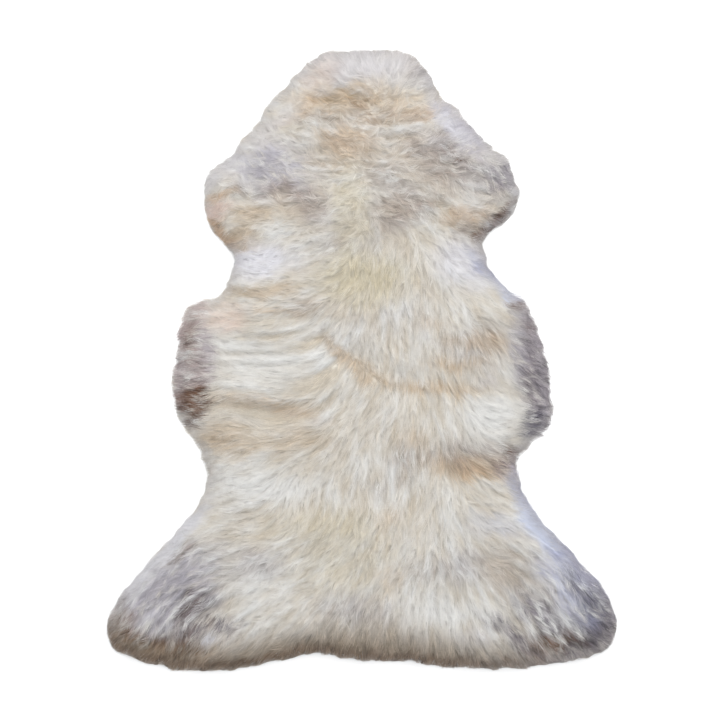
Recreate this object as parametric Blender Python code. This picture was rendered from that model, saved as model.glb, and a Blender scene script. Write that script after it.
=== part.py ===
"""Sheepskin rug: the whole skin of a sheep, tanned with its wool on and lying flat on a floor.

Blender 4.5, metres, +Z up. The neck end points along +Y, the tail end along -Y, and the origin is
the centre of the rug's box, on the floor. The rug is one tanned hide and the fleece that grows on
it: a lumpy bed of wool, taller than its locks at the rim, which fall over the hide's cut edge and
lie on the floor all round.
"""

import math

import bmesh
import bpy
import numpy as np
from mathutils import Vector, noise
from mathutils.geometry import delaunay_2d_cdt

MM = 0.001

# Driving dimensions, in metres
HIDE_THICKNESS = 2.0 * MM
SEAT_GAP = 0.3 * MM  # between the hide and the wool round and over it
FLEECE_HEIGHT = 47.0 * MM  # floor to the crown of the wool, away from the rim
FLANK_DROP = 15.0 * MM  # how much shorter the belly wool of the two flanks is
RIM_ROLL = 66.0 * MM  # width over which the wool rounds down to the floor
LOCK_LENGTH = 17.0 * MM  # how far a rim lock reaches past the bed of wool
HIDE_INSET = 34.0 * MM  # from the tips of the rim locks to the hide's cut edge
LUMP_HEIGHT = 6.0 * MM
LUMP_WIDTH = 62.0 * MM
NET_PITCH = 17.0 * MM  # between neighbouring points of the fleece's crown

LOCK_COUNT = 240
HIDE_EDGE_POINTS = 150
CURVE_STEPS = 24  # straight steps that a curve is first read in, for each point of its table
RING_SMOOTHING = 3
SEED = 11

# Where the wool ends, seen from above, from the left of the neck clockwise round to the right of it
# and back: millimetres to the right of the rug's centre and towards its neck.
RIM_COLUMNS = ("x", "y")
RIM = {
    "neck end": ((-67, 491), (-22, 496), (27, 495), (71, 497), (91, 481)),
    "right of neck": ((111, 459), (130, 423), (166, 390), (195, 355), (224, 332)),
    "right shoulder": ((246, 313), (247, 291), (260, 270), (250, 246), (237, 226), (227, 214)),
    "right crook": ((204, 203), (197, 184), (199, 166), (210, 141), (230, 117)),
    "right flank": (
        (251, 102), (272, 88), (282, 50), (297, 2), (303, -42), (309, -76), (305, -111), (286, -123),
    ),
    "right waist": ((272, -135), (250, -160), (254, -196), (269, -231), (302, -271), (347, -320)),
    "right hind leg": (
        (383, -358), (405, -396), (413, -421), (408, -446), (401, -466), (366, -482), (305, -490),
        (240, -498),
    ),
    "tail end": (
        (175, -497), (110, -491), (62, -485), (0, -485), (-40, -479), (-72, -472), (-112, -480),
    ),
    "left hind leg": (
        (-160, -490), (-222, -501), (-296, -498), (-357, -484), (-397, -469), (-410, -434), (-394, -391),
    ),
    "left waist": ((-352, -341), (-300, -285), (-264, -241), (-244, -198)),
    "left flank": (
        (-254, -158), (-265, -127), (-290, -97), (-304, -46), (-294, 4), (-292, 46), (-284, 78),
        (-256, 93),
    ),
    "left crook": ((-222, 100), (-212, 130), (-200, 166), (-218, 184)),
    "left shoulder": ((-240, 209), (-250, 246), (-249, 291), (-230, 311), (-208, 323)),
    "left of neck": ((-185, 359), (-157, 389), (-143, 417), (-118, 439), (-97, 463)),
}  # fmt: skip

# Where the wool parts in a soft trough, or stands up in a swell where height is above 0: its two
# ends and its half width, in millimetres from the rug's centre, and its height.
CREASE_COLUMNS = ("x0", "y0", "x1", "y1", "half_width", "height")
CREASES = {
    "behind the neck": (-120, 408, 70, 424, 20, -5),
    "across the shoulders": (-95, 318, 60, 345, 26, -4),
    "left shoulder fold": (-238, 262, -192, 250, 12, -7),
    "left shoulder pad": (-222, 218, -205, 300, 20, 4),
    "right shoulder fold": (248, 270, 190, 258, 10, -6),
    "below right shoulder": (140, 208, 196, 214, 14, -7),
    "parting of the back": (-52, 28, 60, -28, 15, -9),
    "parting of the right side": (60, -28, 225, -55, 17, -7),
    "ripple of the left side": (-215, 12, -60, 32, 15, -6),
    "lower ripple of the left side": (-205, -95, -30, -68, 18, -6),
    "swell of the left side": (-200, -42, -40, -25, 20, 4),
    "step of the left flank": (-246, 70, -238, -110, 12, -7),
    "step of the right flank": (250, 62, 262, -112, 12, -7),
    "right waist hollow": (120, -150, 236, -166, 18, -6),
    "left waist hollow": (-238, -150, -120, -172, 16, -5),
    "parting of the left thigh": (-250, -330, -190, -420, 15, -6),
    "parting of the right thigh": (250, -345, 310, -430, 15, -6),
    "rump swell": (-60, -300, 70, -310, 60, 4),
    "left hock fold": (-290, -300, -235, -330, 13, -5),
}


def table_rows(columns, rows):
    """The rows of a table as dictionaries, one value for each named column."""
    return [dict(zip(columns, row)) for row in rows]


def smooth_loop(corners, count):
    """count points, evenly spaced along one smooth closed curve through the corners."""
    before, start = np.roll(corners, 1, axis=0), corners
    end, after = np.roll(corners, -1, axis=0), np.roll(corners, -2, axis=0)
    t = np.linspace(0.0, 1.0, CURVE_STEPS, endpoint=False)[None, :, None]
    p0, p1, p2, p3 = (p[:, None, :] for p in (before, start, end, after))
    curve = p1 + 0.5 * t * (
        p2 - p0 + t * (2 * p0 - 5 * p1 + 4 * p2 - p3 + t * (3 * (p1 - p2) + p3 - p0))
    )
    return evenly_spaced(curve.reshape(-1, 2), count)


def evenly_spaced(loop, count):
    """count points at equal distances along a closed line."""
    closed = np.vstack([loop, loop[:1]])
    run = np.concatenate([[0.0], np.cumsum(np.linalg.norm(np.diff(closed, axis=0), axis=1))])
    at = np.linspace(0.0, run[-1], count, endpoint=False)
    return np.stack([np.interp(at, run, closed[:, axis]) for axis in (0, 1)], axis=1)


def outward_normals(loop):
    """The unit normal of a clockwise closed line at each of its points, pointing away from its inside."""
    along = np.roll(loop, -1, axis=0) - np.roll(loop, 1, axis=0)
    along /= np.linalg.norm(along, axis=1)[:, None]
    return np.stack([-along[:, 1], along[:, 0]], axis=1)


def inset(loop, distance):
    """The closed line moved inwards, with its tight corners eased so that no part of it crosses."""
    moved = loop - distance * outward_normals(loop)
    for _ in range(RING_SMOOTHING):
        moved = 0.5 * moved + 0.25 * (np.roll(moved, 1, axis=0) + np.roll(moved, -1, axis=0))
    return moved


def distance_to(loop, points):
    """How far each point lies from the nearest point of a closed line."""
    gaps = points[:, None, :] - loop[None, :, :]
    return np.sqrt((gaps**2).sum(axis=2).min(axis=1))


def lies_inside(loop, points):
    """Whether each point lies inside a closed line: a ray to its right crosses it an odd number of
    times."""
    x, y = points[:, :1], points[:, 1:]
    (x0, y0), (x1, y1) = loop.T, np.roll(loop, -1, axis=0).T
    spans = (y0 > y) != (y1 > y)
    crossing = x0 + (y - y0) * (x1 - x0) / np.where(y1 == y0, 1.0, y1 - y0)
    return (spans & (crossing > x)).sum(axis=1) % 2 == 1


def crease_height(points):
    """What the partings, folds and swells add to the wool's height at each point."""
    total = np.zeros(len(points))
    for crease in table_rows(CREASE_COLUMNS, CREASES.values()):
        start = MM * np.array([crease["x0"], crease["y0"]])
        run = MM * np.array([crease["x1"], crease["y1"]]) - start
        share = np.clip((points - start) @ run / (run @ run), 0.0, 1.0)
        away = np.linalg.norm(points - start - share[:, None] * run, axis=1)
        total += MM * crease["height"] * np.exp(-((away / (MM * crease["half_width"])) ** 2))
    return total


def lump_height(points):
    """The uneven swell of the wool: wide lumps, and others half as wide and half as high."""
    half_height, half_width = 0.5 * LUMP_HEIGHT, 0.5 * LUMP_WIDTH
    return np.array(
        [
            LUMP_HEIGHT * noise.noise(Vector((x, y, 0.0)) / LUMP_WIDTH)
            + half_height * noise.noise(Vector((y, x, LUMP_WIDTH)) / half_width)
            for x, y in points
        ]
    )


def flank_share(points):
    """1 over the short belly wool of the two flanks, 0 elsewhere, with a soft step between them."""
    step_x, step_half_width = 248.0 * MM, 9.0 * MM
    middle_y, half_length, end_half_width = -20.0 * MM, 112.0 * MM, 12.0 * MM
    across = 0.5 + 0.5 * np.tanh((np.abs(points[:, 0]) - step_x) / step_half_width)
    along = 0.5 - 0.5 * np.tanh((np.abs(points[:, 1] - middle_y) - half_length) / end_half_width)
    return across * along


def wool_height(points, rim):
    """The height of the bed of wool above the floor: a quarter ellipse in from the rim, then its
    crown with the lumps and creases, lower over the flanks."""
    share = np.clip(distance_to(rim, points) / RIM_ROLL, 0.0, 1.0)
    roll = np.sqrt(1.0 - (1.0 - share) ** 2)
    crown = FLEECE_HEIGHT - FLANK_DROP * flank_share(points)
    return roll * crown + roll**3 * (lump_height(points) + crease_height(points))


def staggered_points(loop, margin):
    """Points in staggered rows inside a closed line, none nearer to it than the margin."""
    low, high = loop.min(axis=0), loop.max(axis=0)
    row_pitch = NET_PITCH * math.sqrt(3.0) / 2.0
    x, y = np.meshgrid(np.arange(low[0], high[0], NET_PITCH), np.arange(low[1], high[1], row_pitch))
    x[::2] += 0.5 * NET_PITCH
    found = np.stack([x.ravel(), y.ravel()], axis=1)
    found = found[lies_inside(loop, found)]
    return found[distance_to(loop, found) > margin]


def add_net(mesh, loops, loose, heights):
    """Fills the first closed line with triangles whose edges follow every line and whose corners
    take in the loose points. Returns the new vertices in the order given, and the new faces."""
    inside_only, merge_distance = 1, 1e-7
    points = np.concatenate([*loops, loose]) if len(loose) else np.concatenate(loops)
    edges, first = [], 0
    for loop in loops:
        edges += [(first + i, first + (i + 1) % len(loop)) for i in range(len(loop))]
        first += len(loop)
    outline = list(range(len(loops[0])))
    places, _, faces, origins, _, _ = delaunay_2d_cdt(
        [Vector(p) for p in points], edges, [outline], inside_only, merge_distance
    )
    made = [None] * len(points)
    vertices = []
    for place, numbers in zip(places, origins):
        vertices.append(mesh.verts.new((place.x, place.y, heights[numbers[0]])))
        for number in numbers:
            made[number] = vertices[-1]
    return made, [mesh.faces.new([vertices[i] for i in face]) for face in faces]


def draw_out(face, reach, taper, top):
    """Moves a lock's end face outwards along the floor, makes it narrower and sets its top's height."""
    middle = face.calc_center_median()
    for vertex in face.verts:
        on_floor = vertex.co.z < 1e-6
        vertex.co.xy = middle.xy + (vertex.co.xy - middle.xy) * taper + reach
        vertex.co.z = 0.0 if on_floor else top


def pull_locks(mesh, walls, tips, random):
    """Draws each wall of the bed of wool out into a four-sided lock that tapers, droops and lies on
    the floor, its tip near the point given for it."""
    bend_share, bend_taper, bend_height = 0.58, 0.78, 0.62
    tip_taper, tip_height = 0.34, 2.6 * MM
    stray = 0.25  # how far a tip strays sideways, in lock widths
    shortest, longest = 0.9, 1.04  # how much of the way to its point a tip reaches
    for wall, tip in zip(walls, tips):
        root_top = max(vertex.co.z for vertex in wall.verts)
        root = wall.calc_center_median().xy
        sideways = (wall.verts[1].co - wall.verts[0].co).xy
        aim = (Vector(tip) - root) * random.uniform(shortest, longest)
        aim += sideways * random.uniform(-stray, stray)
        bend = draw_stage(mesh, wall, aim * bend_share, bend_taper, root_top * bend_height)
        draw_stage(mesh, bend, aim * (1.0 - bend_share), tip_taper, tip_height)


def draw_stage(mesh, face, reach, taper, top):
    """Extrudes one stage of a lock from a face and returns the new end face."""
    made = bmesh.ops.extrude_discrete_faces(mesh, faces=[face])["faces"][0]
    draw_out(made, reach, taper, top)
    return made


def hide_edge(rim):
    """The hide's cut edge, inside the wool that falls over it."""
    return evenly_spaced(inset(rim, HIDE_INSET), HIDE_EDGE_POINTS)


def build_fleece(rim):
    """The wool as one closed body: its lumpy crown, the locks of its rim, and a flat underside with
    a recess that the hide fills."""
    bed = inset(rim, LOCK_LENGTH)
    shoulder = inset(bed, 0.5 * NET_PITCH)
    inner = staggered_points(bed, NET_PITCH)
    edge = hide_edge(rim)
    seat = edge + SEAT_GAP * outward_normals(edge)
    seat_top = HIDE_THICKNESS + SEAT_GAP

    mesh = bmesh.new()
    crown_points = np.concatenate([bed, shoulder, inner])
    crown, _ = add_net(mesh, [bed], crown_points[len(bed) :], wool_height(crown_points, rim))
    sole_loops = [bed, seat]
    sole, sole_faces = add_net(mesh, sole_loops, [], np.zeros(sum(map(len, sole_loops))))

    count = len(bed)
    walls = [
        mesh.faces.new([sole[i], sole[(i + 1) % count], crown[(i + 1) % count], crown[i]])
        for i in range(count)
    ]
    recess = [
        face
        for face in sole_faces
        if lies_inside(seat, np.array([face.calc_center_median().xy]))[0]
    ]
    lifted = bmesh.ops.extrude_face_region(mesh, geom=recess)["geom"]
    bmesh.ops.delete(mesh, geom=recess, context="FACES")
    for part in lifted:
        if isinstance(part, bmesh.types.BMVert):
            part.co.z = seat_top
    bmesh.ops.recalc_face_normals(mesh, faces=mesh.faces)

    tips = 0.5 * (rim + np.roll(rim, -1, axis=0))
    pull_locks(mesh, walls, tips, np.random.default_rng(SEED))
    bmesh.ops.recalc_face_normals(mesh, faces=mesh.faces)
    return mesh


def build_hide(rim):
    """The tanned skin under the wool: one flat sheet, cut a little inside the rim locks."""
    mesh = bmesh.new()
    sheet = mesh.faces.new([mesh.verts.new((x, y, 0.0)) for x, y in hide_edge(rim)])
    top = bmesh.ops.extrude_face_region(mesh, geom=[sheet], use_keep_orig=True)["geom"]
    bmesh.ops.translate(
        mesh,
        vec=(0.0, 0.0, HIDE_THICKNESS),
        verts=[part for part in top if isinstance(part, bmesh.types.BMVert)],
    )
    bmesh.ops.recalc_face_normals(mesh, faces=mesh.faces)
    return mesh


def principled(name, colour, roughness, sheen=0.0):
    """A Principled material of one linear colour."""
    material = bpy.data.materials.new(name)
    material.use_nodes = True
    shader = material.node_tree.nodes["Principled BSDF"]
    shader.inputs["Base Color"].default_value = (*colour, 1.0)
    shader.inputs["Roughness"].default_value = roughness
    shader.inputs["Metallic"].default_value = 0.0
    shader.inputs["Sheen Weight"].default_value = sheen
    return material


def add_piece(name, mesh, material, carrier):
    """Makes a named object of a finished mesh, carried by the rug's empty."""
    data = bpy.data.meshes.new(name)
    mesh.to_mesh(data)
    mesh.free()
    data.materials.append(material)
    piece = bpy.data.objects.new(name, data)
    piece.parent = carrier
    bpy.context.scene.collection.objects.link(piece)
    return piece


def centre_over_origin(carrier, pieces):
    """Moves the rug so that the middle of its box is over the origin, seen from above."""
    corners = np.array([vertex.co.xy for piece in pieces for vertex in piece.data.vertices])
    middle = 0.5 * (corners.min(axis=0) + corners.max(axis=0))
    carrier.location = (-middle[0], -middle[1], 0.0)


def main():
    for old in list(bpy.data.objects):
        bpy.data.objects.remove(old)
    rug = bpy.data.objects.new("rug", None)
    bpy.context.scene.collection.objects.link(rug)

    rim_points = table_rows(RIM_COLUMNS, [row for stretch in RIM.values() for row in stretch])
    corners = MM * np.array([[point["x"], point["y"]] for point in rim_points], float)
    rim = smooth_loop(corners, LOCK_COUNT)

    wool = principled("wool", colour=(0.62, 0.57, 0.48), roughness=0.9, sheen=0.3)
    suede = principled("suede", colour=(0.66, 0.56, 0.43), roughness=0.85)
    hide = add_piece("hide", build_hide(rim), suede, rug)
    fleece = add_piece("fleece", build_fleece(rim), wool, rug)
    fleece.data.shade_smooth()
    centre_over_origin(rug, [hide, fleece])


main()
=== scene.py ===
"""A sheepskin rug, seen from straight above: the tanned hide, the bed of wool that grows on it, and
the combed wisps that lie over it and fall past its edge. Metres, +Z up, the neck end towards +Y."""

import math

import bmesh
import bpy
import numpy as np
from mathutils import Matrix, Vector
from mathutils.bvhtree import BVHTree
from mathutils.kdtree import KDTree


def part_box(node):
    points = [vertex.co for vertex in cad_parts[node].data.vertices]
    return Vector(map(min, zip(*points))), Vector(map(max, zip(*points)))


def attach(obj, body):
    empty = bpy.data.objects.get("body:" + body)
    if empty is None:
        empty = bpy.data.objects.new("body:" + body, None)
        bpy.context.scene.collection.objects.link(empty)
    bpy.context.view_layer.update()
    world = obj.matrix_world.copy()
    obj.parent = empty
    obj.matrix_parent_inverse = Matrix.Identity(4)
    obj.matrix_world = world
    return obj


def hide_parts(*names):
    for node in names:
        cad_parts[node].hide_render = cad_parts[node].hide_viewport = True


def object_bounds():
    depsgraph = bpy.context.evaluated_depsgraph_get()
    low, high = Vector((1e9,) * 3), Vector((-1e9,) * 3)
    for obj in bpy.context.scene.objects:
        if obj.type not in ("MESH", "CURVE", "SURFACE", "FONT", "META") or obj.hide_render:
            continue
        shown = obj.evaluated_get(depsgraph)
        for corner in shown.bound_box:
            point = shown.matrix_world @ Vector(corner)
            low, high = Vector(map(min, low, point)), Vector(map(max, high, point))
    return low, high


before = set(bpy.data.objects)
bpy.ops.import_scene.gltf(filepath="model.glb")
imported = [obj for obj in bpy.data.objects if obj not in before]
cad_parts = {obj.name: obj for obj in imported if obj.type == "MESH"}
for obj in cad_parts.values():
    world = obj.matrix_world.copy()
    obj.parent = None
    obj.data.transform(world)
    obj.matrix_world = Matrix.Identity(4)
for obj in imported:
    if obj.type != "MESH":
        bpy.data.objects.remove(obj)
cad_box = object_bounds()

MM = 0.001

# --------------------------------------------------------------------------------------------------
# The hide: the sheep's own skin, tanned soft, 2 mm thick and cut to the animal's outline.
# It shows from below, as suede: the flesh side, buffed to a short nap that still has faint wrinkles.
JOIN_WITHIN = 0.01 * MM  # corners of the CAD's loose triangles that lie this near are one corner
FLAT_ANGLE = 0.02  # in radians: faces that turn less than this from each other are one flat face
SHARP_ANGLE = math.radians(50.0)  # the cut edge turns more, and stays crisp
FLESH_LEVEL = 0.1 * MM  # a corner that lies lower is on the flesh side
HIDE_SQUARE = 9.0 * MM  # the sheet is cut into squares this wide, so that it can wrinkle
WRINKLE_HEIGHT = 0.5 * MM
WRINKLE_LENGTH, WRINKLE_WIDTH = 90.0 * MM, 26.0 * MM
SUEDE_LIGHT, SUEDE_DARK = "d6c6ac", "c9b698"
SUEDE_MOTTLE = 70.0 * MM  # patches where the tanning took more or less colour
SUEDE_GRAIN = 2.5 * MM  # the nap's own grain, near 0.3 mm, is too fine to show and is drawn coarser
NOISE_NET = 512  # squares along each side of the noise, after which it repeats
LEVEL_FACE = 0.9  # a face is level where its normal's z is over this, up or down


def merged_copy(node):
    """A bmesh of a CAD node with the corners of its loose triangles joined."""
    shape = bmesh.new()
    shape.from_mesh(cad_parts[node].data)
    bmesh.ops.remove_doubles(shape, verts=shape.verts, dist=JOIN_WITHIN)
    return shape


def soft_noise(points, size, seed):
    """Soft swells between -1 and 1, about one size wide, the same each time for the same seed."""
    corners = np.random.default_rng(seed).uniform(-1.0, 1.0, (NOISE_NET, NOISE_NET))
    at = points / size + NOISE_NET // 2
    cell = np.floor(at).astype(int)
    ease = at - cell
    ease = ease * ease * (3.0 - 2.0 * ease)
    x, y = cell.T % NOISE_NET
    x1, y1 = (x + 1) % NOISE_NET, (y + 1) % NOISE_NET
    near = corners[x, y] * (1.0 - ease[:, 0]) + corners[x1, y] * ease[:, 0]
    far = corners[x, y1] * (1.0 - ease[:, 0]) + corners[x1, y1] * ease[:, 0]
    return near * (1.0 - ease[:, 1]) + far * ease[:, 1]


def srgb(code):
    """A linear colour from six sRGB hex digits."""
    values = [int(code[i : i + 2], 16) / 255.0 for i in (0, 2, 4)]
    linear = [v / 12.92 if v <= 0.04045 else ((v + 0.055) / 1.055) ** 2.4 for v in values]
    return (*linear, 1.0)


def add_node(tree, kind, values=None, links=None, **settings):
    """A shader node with its settings, the values of its sockets and the outputs linked to them."""
    node = tree.nodes.new("ShaderNode" + kind)
    for name, value in settings.items():
        setattr(node, name, value)
    for socket, value in (values or {}).items():
        node.inputs[socket].default_value = value
    for socket, source in (links or {}).items():
        tree.links.new(source, node.inputs[socket])
    return node


def new_material(name):
    """An empty node material and its tree."""
    material = bpy.data.materials.new(name)
    material.use_nodes = True
    material.node_tree.nodes.clear()
    return material, material.node_tree


def buffed_suede():
    """Tanned sheepskin, buffed: matt, with a short nap that catches light at a low angle."""
    material, tree = new_material("tanned sheepskin, buffed suede")
    place = add_node(tree, "TexCoord").outputs["Object"]
    mottle = add_node(tree, "TexNoise", {"Scale": 1.0 / SUEDE_MOTTLE, "Detail": 4.0}, {"Vector": place})
    grain = add_node(tree, "TexNoise", {"Scale": 1.0 / SUEDE_GRAIN, "Detail": 3.0}, {"Vector": place})
    patch = add_node(
        tree, "MapRange", {"From Min": 0.35, "From Max": 0.65}, {"Value": mottle.outputs["Fac"]}
    )
    colour = add_node(
        tree, "Mix", {"A": srgb(SUEDE_LIGHT), "B": srgb(SUEDE_DARK)},
        {"Factor": patch.outputs["Result"]}, data_type="RGBA",
    )
    nap = add_node(
        tree, "Bump", {"Strength": 0.35, "Distance": 0.4 * MM}, {"Height": grain.outputs["Fac"]}
    )
    shader = add_node(
        tree, "BsdfPrincipled",
        {"Roughness": 0.92, "Sheen Weight": 0.25, "Sheen Roughness": 0.5, "Specular IOR Level": 0.25},
        {"Base Color": colour.outputs["Result"], "Normal": nap.outputs["Normal"]},
    )
    add_node(tree, "OutputMaterial", links={"Surface": shader.outputs["BSDF"]})
    return material


def as_piece(name, shape, material):
    """A finished bmesh as a smooth shaded piece of the rug."""
    mesh = bpy.data.meshes.new(name)
    shape.to_mesh(mesh)
    shape.free()
    mesh.materials.append(material)
    mesh.shade_smooth()
    piece = bpy.data.objects.new(name, mesh)
    bpy.context.scene.collection.objects.link(piece)
    return piece


def cut_in_squares(shape, low, high, pitch):
    """Cuts a bmesh along a square net of upright planes."""
    for normal, start, end in (((1, 0, 0), low.x, high.x), ((0, 1, 0), low.y, high.y)):
        for at in np.arange(start + 0.5 * pitch, end, pitch):
            everything = shape.verts[:] + shape.edges[:] + shape.faces[:]
            bmesh.ops.bisect_plane(shape, geom=everything, plane_co=Vector(normal) * at, plane_no=normal)


def hide_sheet():
    """The hide with its flesh side wrinkled, its cut edge and its upper side as they are in the CAD."""
    low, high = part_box("hide")
    sheet = merged_copy("hide")
    bmesh.ops.dissolve_limit(sheet, angle_limit=FLAT_ANGLE, verts=sheet.verts, edges=sheet.edges)
    cut_in_squares(sheet, low, high, HIDE_SQUARE)
    under = [v for v in sheet.verts if v.co.z < FLESH_LEVEL and not v.is_boundary]
    inner = [v for v in under if all(abs(face.normal.z) > LEVEL_FACE for face in v.link_faces)]
    places = np.array([(v.co.x / WRINKLE_LENGTH, v.co.y / WRINKLE_WIDTH) for v in inner])
    for vertex, height in zip(inner, soft_noise(places, 1.0, seed=31)):
        vertex.co.z = WRINKLE_HEIGHT * max(0.0, height)
    bmesh.ops.triangulate(sheet, faces=[face for face in sheet.faces if len(face.verts) > 4])
    return sheet


hide = as_piece("hide_suede", hide_sheet(), buffed_suede())
hide.data.set_sharp_from_angle(angle=SHARP_ANGLE)
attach(hide, "root")
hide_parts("hide")

# --------------------------------------------------------------------------------------------------
# The fleece's form: wool about 50 mm deep that grows on the hide in one lumpy slab, rounds over at its
# rim and falls past the hide's edge to a line of tips on the floor. Its height and its edge are read
# from the CAD onto a square net of points, so that the bed and the wisps below follow one form.
FIELD_PITCH = 4.0 * MM  # of the net
FIELD_MARGIN = 28.0 * MM  # how far the net goes past the CAD's box
ABOVE = 0.2  # metres: a height over all of the wool, from which it is sounded
TOP_PASSES = 4  # how often the height is evened out
RIM_PASSES = 5  # how often the outline is evened out
RIM_SHARE = 0.4  # a point is inside the rim where this share of its surroundings has wool
EDGE_BEYOND = 5.0 * MM  # from the middle of the CAD's rim locks to their tips
HOLLOW_PULL = 0.14 * MM  # how much less the locks reach, for each 1/m that the outline turns in
HOLLOW_LIMIT = 30.0  # in 1/m: a sharper turn pulls the locks no further in
HOLLOW_PASSES = 12  # how often that pull is evened out along the rim

field_low = np.array(cad_box[0][:2]) - FIELD_MARGIN
field_size = (np.array(cad_box[1][:2]) + FIELD_MARGIN - field_low) / FIELD_PITCH
field_columns, field_rows = (int(math.ceil(size)) + 1 for size in field_size)


def field_points():
    """Every point of the net, as x and y in metres."""
    x, y = np.meshgrid(np.arange(field_columns), np.arange(field_rows), indexing="ij")
    return field_low + FIELD_PITCH * np.stack([x.ravel(), y.ravel()], axis=1)


def read_field(field, points):
    """A field's value at each point, evened between the four nearest points of the net."""
    at = np.clip((points - field_low) / FIELD_PITCH, 0.0, [field_columns - 1.001, field_rows - 1.001])
    x, y = np.floor(at).astype(int).T
    s, t = (at - np.floor(at)).T
    if field.ndim == 3:
        s, t = s[:, None], t[:, None]
    near = field[x, y] * (1.0 - s) + field[x + 1, y] * s
    far = field[x, y + 1] * (1.0 - s) + field[x + 1, y + 1] * s
    return near * (1.0 - t) + far * t


def softened(field, passes):
    """A field with its steps evened out over about half a net pitch for each pass."""
    for _ in range(passes):
        wide = np.pad(field, 1, mode="edge")
        around = wide[:-2, 1:-1] + wide[2:, 1:-1] + wide[1:-1, :-2] + wide[1:-1, 2:]
        field = 0.5 * field + 0.125 * around
    return field


def eased(value, start, end):
    """0 before start, 1 after end, with a soft rise between them."""
    share = np.clip((value - start) / (end - start), 0.0, 1.0)
    return share * share * (3.0 - 2.0 * share)


def unit(vectors):
    """Vectors of length 1."""
    return vectors / np.maximum(np.linalg.norm(vectors, axis=-1, keepdims=True), 1e-9)


def read_wool_top(shape):
    """The height of the wool over the floor at each point of the net, and 0 past its edge."""
    tree, down = BVHTree.FromBMesh(shape), Vector((0, 0, -1))
    hits = [tree.ray_cast(Vector((x, y, ABOVE)), down)[0] for x, y in field_points()]
    heights = np.array([hit.z if hit else 0.0 for hit in hits])
    return heights.reshape(field_columns, field_rows)


def read_edge_distance(top):
    """How far each point of the net lies inside the line of the wool's tips, below 0 outside it."""
    inside = softened((top > 0.0).astype(float), RIM_PASSES) > RIM_SHARE
    wide = np.pad(inside, 1)
    whole = wide[:-2, 1:-1] & wide[2:, 1:-1] & wide[1:-1, :-2] & wide[1:-1, 2:]
    points = field_points()
    rim = points[(inside & ~whole).ravel()]
    tree = KDTree(len(rim))
    for number, (x, y) in enumerate(rim):
        tree.insert((x, y, 0.0), number)
    tree.balance()
    away = np.array([tree.find((x, y, 0.0))[2] for x, y in points])
    signed = np.where(inside.ravel(), away, -away).reshape(field_columns, field_rows)
    distance = softened(signed, RIM_PASSES)
    inwards = unit(np.stack(np.gradient(distance, FIELD_PITCH), axis=2))
    turn = np.gradient(inwards[:, :, 0], FIELD_PITCH, axis=0)
    turn += np.gradient(inwards[:, :, 1], FIELD_PITCH, axis=1)
    hollow = softened(np.clip(turn, 0.0, HOLLOW_LIMIT), HOLLOW_PASSES)
    return distance + EDGE_BEYOND - HOLLOW_PULL * hollow


fleece_shape = merged_copy("fleece")
raw_top = read_wool_top(fleece_shape)
edge_distance = read_edge_distance(raw_top)
wool_top = softened(raw_top, TOP_PASSES)
outward = -unit(np.stack(np.gradient(edge_distance, FIELD_PITCH), axis=2))

# --------------------------------------------------------------------------------------------------
# The lie of the wool: it falls to either side of the neck, outwards over the left ribs, tailwards down
# the back and the right side, and out into each leg. The table gives the way that it points along a
# row across the rug: 0 to the right, 90 to the neck, 180 to the left, 270 to the tail.
NAP_REACH = 32.0 * MM  # how far from its place a heading holds
NAP = {  # each row's y in mm, how unruly the wool is there from 0 to 1, and its heading at each x
    "neck end": (482, 0.3, {-50: 110, 6: 90, 63: 70}),
    "neck": (428, 0.8, {-114: 165, -58: 175, 6: 180, 71: 10, 119: 25}),
    "nape": (370, 0.8, {-155: 150, -98: 165, -42: 180, 23: 0, 87: 15, 151: 25}),
    "shoulders": (313, 0.8, {-203: 165, -147: 165, -90: 175, -34: 185, 31: 355, 95: 0, 159: 335,
                             224: 345}),
    "low shoulders": (242, 0.8, {-219: 215, -163: 180, -98: 180, -34: 185, 39: 350, 103: 345, 167: 340,
                                 224: 350}),
    "withers": (178, 0.5, {-179: 180, -114: 185, -58: 200, 6: 262, 71: 275, 135: 320, 192: 335}),
    "back": (112, 0.3, {-187: 178, -122: 185, -58: 205, 6: 262, 71: 272, 135: 300, 200: 345}),
    "high ribs": (60, 0.25, {-275: 180, -219: 182, -155: 182, -98: 195, -42: 245, 23: 265, 87: 270,
                             151: 275, 216: 300, 272: 352}),
    "ribs": (-17, 0.2, {-283: 190, -219: 172, -155: 180, -90: 190, -34: 230, 23: 262, 87: 270,
                        151: 285, 216: 320, 280: 355}),
    "low ribs": (-77, 0.2, {-283: 200, -219: 176, -155: 172, -90: 195, -34: 240, 23: 265, 87: 272,
                            151: 300, 216: 12, 280: 350}),
    "waist": (-150, 0.2, {-235: 190, -171: 185, -98: 200, -34: 245, 31: 268, 95: 272, 159: 290,
                          224: 330}),
    "loin": (-226, 0.25, {-243: 205, -187: 195, -122: 250, -58: 265, 6: 255, 71: 270, 135: 285,
                          200: 340, 256: 340}),
    "rump": (-305, 0.35, {-291: 215, -227: 195, -163: 195, -98: 205, -34: 215, 31: 250, 95: 265,
                          159: 290, 224: 345, 296: 320}),
    "hocks": (-374, 0.4, {-348: 220, -283: 225, -219: 200, -155: 205, -90: 215, -26: 235, 39: 240,
                          103: 255, 167: 285, 232: 310, 296: 310, 361: 315}),
    "feet": (-442, 0.3, {-388: 225, -324: 230, -259: 232, -195: 225, -130: 235, -66: 255, -2: 265,
                         63: 268, 127: 270, 192: 290, 256: 300, 320: 305, 385: 320}),
}
PARTING_START = np.array([-60.0, 36.0]) * MM  # of the one parting, where the rug was folded over
PARTING_END = np.array([38.0, -40.0]) * MM
PARTING_HALF_WIDTH = 16.0 * MM
LEAN = 0.8  # how strongly the wool leans away from the parting, against 1 for the nap


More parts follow.
